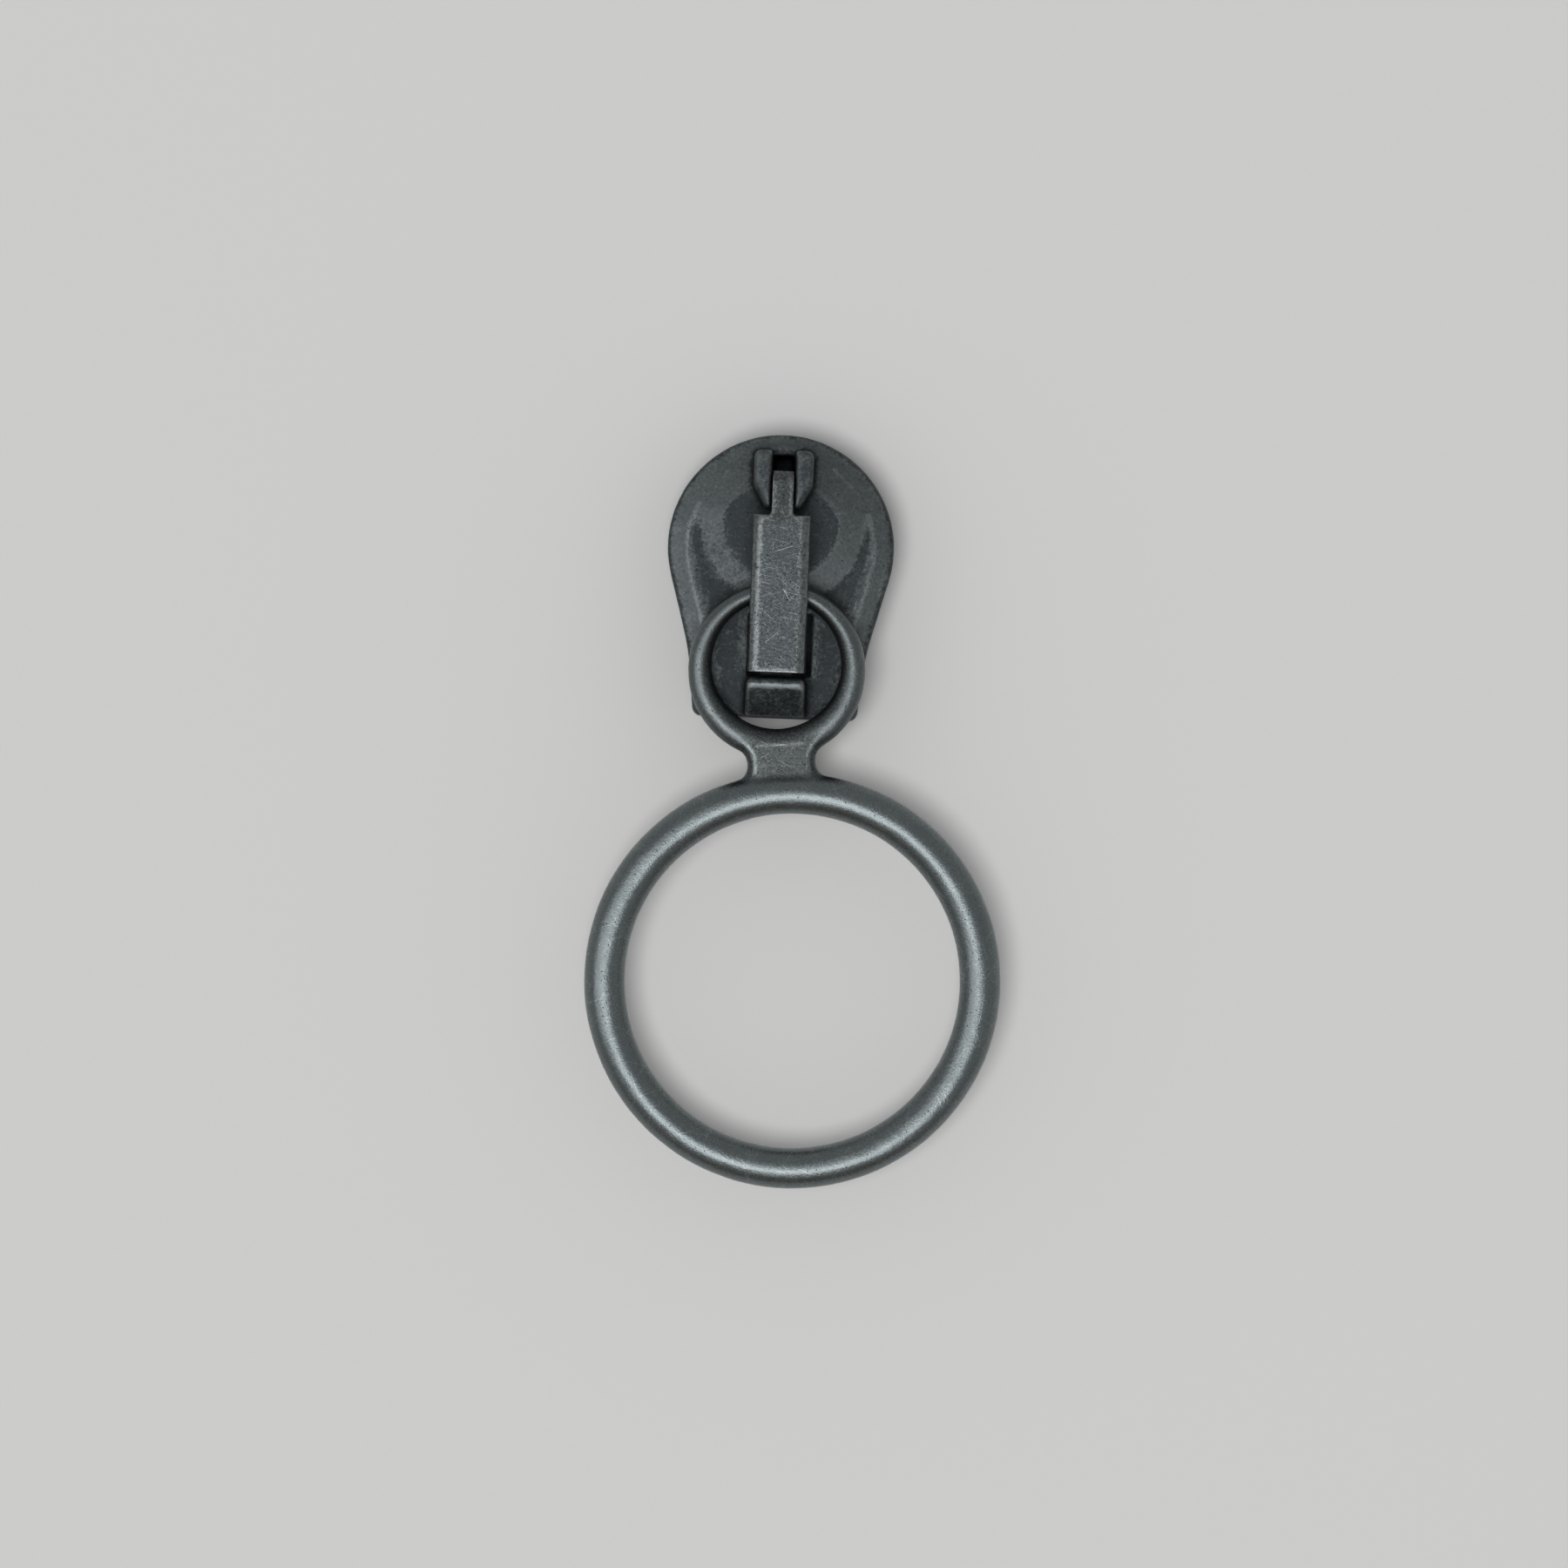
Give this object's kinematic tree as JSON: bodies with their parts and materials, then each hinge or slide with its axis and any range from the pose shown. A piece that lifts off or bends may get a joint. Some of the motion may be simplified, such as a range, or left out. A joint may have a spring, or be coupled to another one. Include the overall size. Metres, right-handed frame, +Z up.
{
  "type": "zip slider with ring puller",
  "caption": "Locking zip slider with a forked nose lug, a spring steel lock strip and a cast ring puller, for a chain of about size 5.",
  "frame": {"origin": "middle of the body's flat underside, halfway between nose and tail", "axes": "+Y towards the nose of the slider, +Z up from the underside towards the lock strip, +X across to the right"},
  "size_m": [0.0201, 0.0365, 0.0073],
  "materials": {
    "gunmetal_casting": "zinc casting with antique gunmetal plating, tumbled, bright on worn edges",
    "gunmetal_strip": "spring steel with antique gunmetal plating, finely scratched",
    "gunmetal_puller": "zinc casting with antique gunmetal plating, tumbled and semi bright"
  },
  "bodies": {
    "body": {"slider_body": "gunmetal_casting"},
    "lock": {"lock_strip": "gunmetal_strip"},
    "puller": {"ring_puller": "gunmetal_puller"}
  },
  "joints": [
    {"name": "puller_lift", "type": "hinge", "parent": "body", "child": "puller", "pos_m": [0, -0.0007, 0.00564], "axis": [-1, 0, 0], "range_deg": [0, 162]},
    {"name": "lock_lift", "type": "hinge", "parent": "body", "child": "lock", "pos_m": [0, 0.00485, 0.00698], "axis": [-1, 0, 0], "range_deg": [0, 3.5], "stiffness_Nm_per_rad": 0.05, "springref_deg": -2.86}
  ]
}
